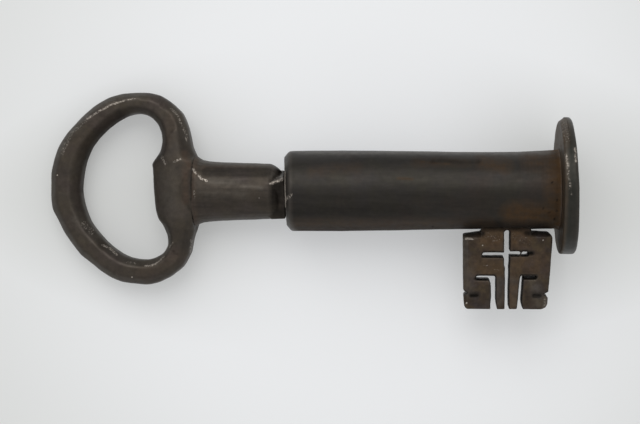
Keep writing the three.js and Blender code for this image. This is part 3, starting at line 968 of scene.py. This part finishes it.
def bit():
    """The bit: a plate with a root, sawn and filed for the lock's wards."""
    half = BIT_THICKNESS / 2
    plate = punched(BIT_OUTLINE, -half, half, name="warded_bit")
    change(plate, "BEVEL", width=0.3, segments=2)
    cut_away(plate, *ward_cuts(half))
    one_skin(plate, grain=0.24, softening=2)
    hammer(plate, bit_filing(half))
    plate.data.transform(Matrix.Rotation(BIT_TWIST, 4, "X"))
    dent(plate, size=4, depth=0.16)
    dent(plate, size=0.9, depth=0.04)
    feel_edges(plate)
    brush(plate, "bare_and_glints", BIT_BARE_AND_GLINTS, fade=0.6)
    brush(plate, "rust", BIT_RUST)
    brush(plate, "dirt_and_shade", BIT_PAINTED_SHADE)
    brush(plate, "painted_sheen", BIT_PAINTED_SHEEN)
    return plate


def linear(hex_colour):
    """An sRGB hex colour as linear red, green, blue and alpha."""
    parts = [int(hex_colour[i:i + 2], 16) / 255 for i in (1, 3, 5)]
    return [p / 12.92 if p <= 0.04045 else ((p + 0.055) / 1.055) ** 2.4 for p in parts] + [1]


def add_node(tree, kind, values, output=0):
    """Adds a node and gives its output. A value is one of the node's own settings by name, or one
    of its inputs by name or number: a number or a colour, or another node's output to link.
    """
    node = tree.nodes.new("ShaderNode" + kind)
    for name, value in values.items():
        if isinstance(name, str) and hasattr(node, name):
            setattr(node, name, value)
        elif isinstance(value, bpy.types.NodeSocket):
            tree.links.new(value, node.inputs[name])
        else:
            node.inputs[name].default_value = value
    return node.outputs[output]


def old_iron(name, dark, middle, light, rust, patch_mm, roughness, grain=1.0, streaks=0.0):
    """Wrought iron, forged hot and filed, under an old patina: patches of darker and of lighter
    scale, brown rust, grime in the hollows, painted shade where faces lie in shadow, painted sheen
    where facets catch the light, worn metal where it rubs and painted glints.

    The scale's real grain and the file marks are about 0.1 mm, too fine to show, so their patterns
    are drawn 0.4 to 1.6 mm coarse.
    """
    material = bpy.data.materials.new(name)
    material.use_nodes = True
    tree = material.node_tree
    shader = tree.nodes["Principled BSDF"]
    place = add_node(tree, "TexCoord", {}, "Object")
    marks = {
        mark: add_node(tree, "Attribute", {"attribute_name": mark}, "Fac")
        for mark in ("bare_and_glints", "rust", "dirt_and_shade", "painted_sheen", "ridge", "groove")
    }
    # Dirt also settles in the grooves.
    grooves = add_node(tree, "Math", {"operation": "MULTIPLY", 0: marks["groove"], 1: 0.5})
    marks["dirt_and_shade"] = add_node(tree, "Math", {"operation": "MAXIMUM", 0: marks["dirt_and_shade"], 1: grooves})

    # Layer on layer: the mark that it follows, the size of its patches in millimetres, the part of
    # the noise that makes them, how much they show at least and at most, and their colour. In a mix
    # of colours, inputs 6 and 7 are the colours, and output 2 is what comes out.
    layers = [
        (None, patch_mm, 0.38, 0.62, 0.0, 1.0, middle),
        (None, 1.7 * patch_mm, 0.48, 0.66, 0.0, 1.0, light),
        ("rust", 2.2, 0.3, 0.6, 0.35, 1.0, rust),
        # Near black: grime, and painted shade where faces lie in shadow.
        ("dirt_and_shade", 3.0, 0.2, 0.5, 0.0, 1.0, "#181512"),
        # Painted sheen: a lighter tint where facets catch the light.
        ("painted_sheen", 1.8, 0.3, 0.6, 0.3, 0.8, "#5a554e"),
        ("ridge", 1.8, 0.3, 0.6, 0.25, 0.35, "#5d5751"),
    ]
    colour = linear(dark)
    shares = {}
    for mark, size, low, high, least, most, tint in layers:
        noise = add_node(tree, "TexNoise", {
            "Vector": place, "Scale": 1 / (size * MM), "Detail": 6, "Roughness": 0.6,
        })
        share = add_node(tree, "MapRange", {
            "Value": noise, "From Min": low, "From Max": high, "To Min": least, "To Max": most,
        })
        if mark:
            share = add_node(tree, "Math", {"operation": "MULTIPLY", 0: share, 1: marks[mark]})
        colour = add_node(
            tree, "Mix", {"data_type": "RGBA", 0: share, 6: colour, 7: linear(tint)}, 2
        )
        shares[mark] = share

    # Coarse and fine grain, and streaks, ten times as long as wide, where the file went along the
    # key: the size in millimetres, the detail, where it is read and how much it lightens or
    # darkens.
    patterns = [(1.6, 3, place, 0.15 * grain), (0.6, 2, place, 0.05 * grain)]
    if streaks:
        stretched = add_node(tree, "Mapping", {"Vector": place, "Scale": (0.1, 1, 1)})
        patterns.append((1.5, 3, stretched, streaks))
    brightness = 1.0
    for size, detail, where, spread in patterns:
        noise = add_node(tree, "TexNoise", {
            "Vector": where, "Scale": 1 / (size * MM), "Detail": detail, "Roughness": 0.6,
        })
        factor = add_node(tree, "MapRange", {
            "Value": noise, "From Min": 0.3, "From Max": 0.7,
            "To Min": 1 - spread, "To Max": 1 + spread,
        })
        brightness = add_node(tree, "Math", {"operation": "MULTIPLY", 0: brightness, 1: factor})
    colour = add_node(tree, "HueSaturation", {"Color": colour, "Value": brightness})

    # Where the iron is worn to the metal, and where glints are painted, the light outline is ragged.
    noise = add_node(
        tree, "TexNoise", {"Vector": place, "Scale": 1 / (0.4 * MM), "Detail": 3, "Roughness": 0.6}
    )
    ragged = add_node(tree, "Math", {"operation": "ADD", 0: marks["bare_and_glints"], 1: noise})
    ragged = add_node(tree, "MapRange", {"Value": ragged, "From Min": 0.95, "From Max": 1.15})
    worn_and_glint_share = add_node(tree, "MapRange", {"Value": marks["bare_and_glints"], "From Min": 0, "From Max": 0.6})
    worn_and_glint_share = add_node(tree, "Math", {"operation": "MULTIPLY", 0: worn_and_glint_share, 1: ragged})
    colour = add_node(
        tree, "Mix", {"data_type": "RGBA", 0: worn_and_glint_share, 6: colour, 7: linear("#a39a90")}, 2
    )
    tree.links.new(colour, shader.inputs["Base Color"])

    # The sheen varies a little from patch to patch, and grime, painted shade and rust are matt.
    noise = add_node(
        tree, "TexNoise", {"Vector": place, "Scale": 1 / (1.5 * MM), "Detail": 6, "Roughness": 0.6}
    )
    rough = add_node(tree, "MapRange", {
        "Value": noise, "From Min": 0.3, "From Max": 0.7,
        "To Min": roughness - 0.04, "To Max": roughness + 0.06,
    })
    for rougher, by in ((marks["dirt_and_shade"], 0.45), (shares["rust"], 0.3)):
        rough = add_node(tree, "Math", {"operation": "MULTIPLY_ADD", 0: rougher, 1: by, 2: rough})
    tree.links.new(rough, shader.inputs["Roughness"])
    # Scale and patina are partly oxide, so the surface isn't fully metallic.
    shader.inputs["Metallic"].default_value = 0.75

    # The grain stands 0.05 mm high.
    noise = add_node(
        tree, "TexNoise", {"Vector": place, "Scale": 1 / (0.6 * MM), "Detail": 4, "Roughness": 0.6}
    )
    bump = add_node(tree, "Bump", {"Height": noise, "Strength": 0.2, "Distance": 0.05 * MM})
    tree.links.new(bump, shader.inputs["Normal"])
    return material


def lay_on_table(piece, place, node, material):
    """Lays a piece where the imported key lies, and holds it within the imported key's box."""
    piece.data.transform(place)
    points = np.array([vertex.co for vertex in piece.data.vertices])
    margin = 0.02 * MM
    points = np.clip(points, np.add(cad_box[0], margin), np.subtract(cad_box[1], margin))
    piece.data.vertices.foreach_set("co", points.ravel())
    deselect_all()
    piece.select_set(True)
    bpy.context.view_layer.objects.active = piece
    bpy.ops.object.shade_smooth_by_angle(angle=math.radians(50))
    piece.data.materials.clear()
    piece.data.materials.append(material)
    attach(piece, "root")
    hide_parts(node)


def camera():
    """The camera looks straight down on the key."""
    lens = bpy.data.cameras.new("camera")
    lens.lens = 69
    lens.sensor_width = 36
    stand = bpy.data.objects.new("camera", lens)
    stand.location = (0.0027, -0.00357, 0.355)
    bpy.context.scene.collection.objects.link(stand)
    bpy.context.scene.camera = stand


def lights():
    """A pale room, and one large soft window behind the key."""
    world = bpy.data.worlds.new("room")
    world.use_nodes = True
    walls = world.node_tree.nodes["Background"]
    walls.inputs["Color"].default_value = linear("#f4f5f6")
    walls.inputs["Strength"].default_value = 0.74
    bpy.context.scene.world = world
    bpy.ops.object.light_add(type="AREA", location=(-0.12, 0.44, 0.64))
    window = bpy.context.object
    window.data.size = 0.6
    window.data.energy = 2.1
    window.rotation_euler = (-window.location).to_track_quat("-Z", "Y").to_euler()


def table():
    """A sheet of pale matt paper, with painted shade in places. A third of what the camera and the
    metal see of it is glow, so its shadows stay light.
    """
    bpy.ops.mesh.primitive_plane_add(size=3)
    top = bpy.context.object
    top.name = "table"
    material = bpy.data.materials.new("pale_paper")
    material.use_nodes = True
    tree = material.node_tree
    shader = tree.nodes["Principled BSDF"]
    shader.inputs["Roughness"].default_value = 0.9
    place = add_node(tree, "TexCoord", {}, "Object")
    place = add_node(tree, "Mapping", {"Vector": place, "Location": (-0.015, 0, 0)})
    away = {"radius": add_node(tree, "VectorMath", {"operation": "LENGTH", 0: place}, "Value")}
    for axis in ("X", "Y"):
        along = add_node(tree, "SeparateXYZ", {0: place}, axis)
        away[axis] = add_node(tree, "Math", {"operation": "ABSOLUTE", 0: along})

    # Painted shade: a band to either side of the middle and a broad ring round it are darkened,
    # where less light falls. For each distance from the middle, in metres: where there is none yet,
    # and where it is full.
    painted_shadow = 0.0
    for ramps in (
        (("X", 0.015, 0.06), ("X", 0.16, 0.09), ("Y", 0.05, 0.0)),
        (("radius", 0.05, 0.15), ("radius", 0.3, 0.16)),
    ):
        patch = 1.0
        for distance, start, end in ramps:
            ramp = add_node(tree, "MapRange", {
                "interpolation_type": "SMOOTHSTEP", "Value": away[distance],
                "From Min": start, "From Max": end,
            })
            patch = add_node(tree, "Math", {"operation": "MULTIPLY", 0: patch, 1: ramp})
        painted_shadow = add_node(tree, "Math", {"operation": "MAXIMUM", 0: painted_shadow, 1: patch})
    clean, shade_grey = linear("#f2f3f4"), linear("#dddedc")
    paper = add_node(tree, "Mix", {"data_type": "RGBA", 0: painted_shadow, 6: clean, 7: shade_grey}, 2)
    tree.links.new(paper, shader.inputs["Base Color"])

    seen = 0.0
    for kind in ("Is Camera Ray", "Is Glossy Ray", "Is Transmission Ray"):
        ray = add_node(tree, "LightPath", {}, kind)
        seen = add_node(tree, "Math", {"operation": "ADD", 0: seen, 1: ray})
    seen = add_node(tree, "Math", {"operation": "MULTIPLY", 0: seen, 1: 0.34})
    glow = add_node(tree, "Emission", {"Color": paper, "Strength": 1.0})
    both = add_node(tree, "MixShader", {0: seen, 1: shader.outputs[0], 2: glow})
    tree.links.new(both, tree.nodes["Material Output"].inputs["Surface"])
    top.data.materials.append(material)


deselect_all()
camera()
lights()
table()
on_table = key_to_table()
# Hammered, then handled for years: warm dark brown scale, dull in the dents, with painted sheen on
# the flats.
handled_iron = old_iron(
    "handled_wrought_iron", dark="#3a342e", middle="#403930", light="#3f3732", rust="#57463a",
    patch_mm=5, roughness=0.45,
)
# Drawn out and filed lengthwise: the same brown, with faint streaks along the neck.
drawn_iron = old_iron(
    "drawn_wrought_iron", dark="#38322c", middle="#3e372f", light="#3c3531", rust="#57463a",
    patch_mm=5, roughness=0.44, grain=0.8, streaks=0.18,
)
# Rolled round a rod and filed smooth: nearly black, with broad calm patches and fine streaks.
filed_iron = old_iron(
    "filed_wrought_iron", dark="#292624", middle="#2a2721", light="#2e2722", rust="#4d3821",
    patch_mm=8, roughness=0.42, grain=0.4, streaks=0.13,
)
# Turned and filed round: as dark and a little green, with no streaks.
turned_iron = old_iron(
    "turned_wrought_iron", dark="#272722", middle="#2b2b26", light="#2d2b26", rust="#54422f",
    patch_mm=5, roughness=0.42, grain=0.7,
)
# Sawn and left rough: brown with old rust, in small patches with a coarse grain.
sawn_iron = old_iron(
    "sawn_wrought_iron", dark="#362c25", middle="#453a2b", light="#393230", rust="#5b4733",
    patch_mm=3, roughness=0.48, grain=1.5,
)
lay_on_table(bow(), on_table, "bow", handled_iron)
lay_on_table(neck(), on_table, "neck", drawn_iron)
lay_on_table(barrel(), on_table, "barrel", filed_iron)
lay_on_table(breech_plug(), on_table, "breech_plug", filed_iron)
lay_on_table(end_disc(), on_table, "end_disc", turned_iron)
lay_on_table(bit(), on_table, "bit", sawn_iron)

bpy.context.scene.view_settings.view_transform = "Standard"
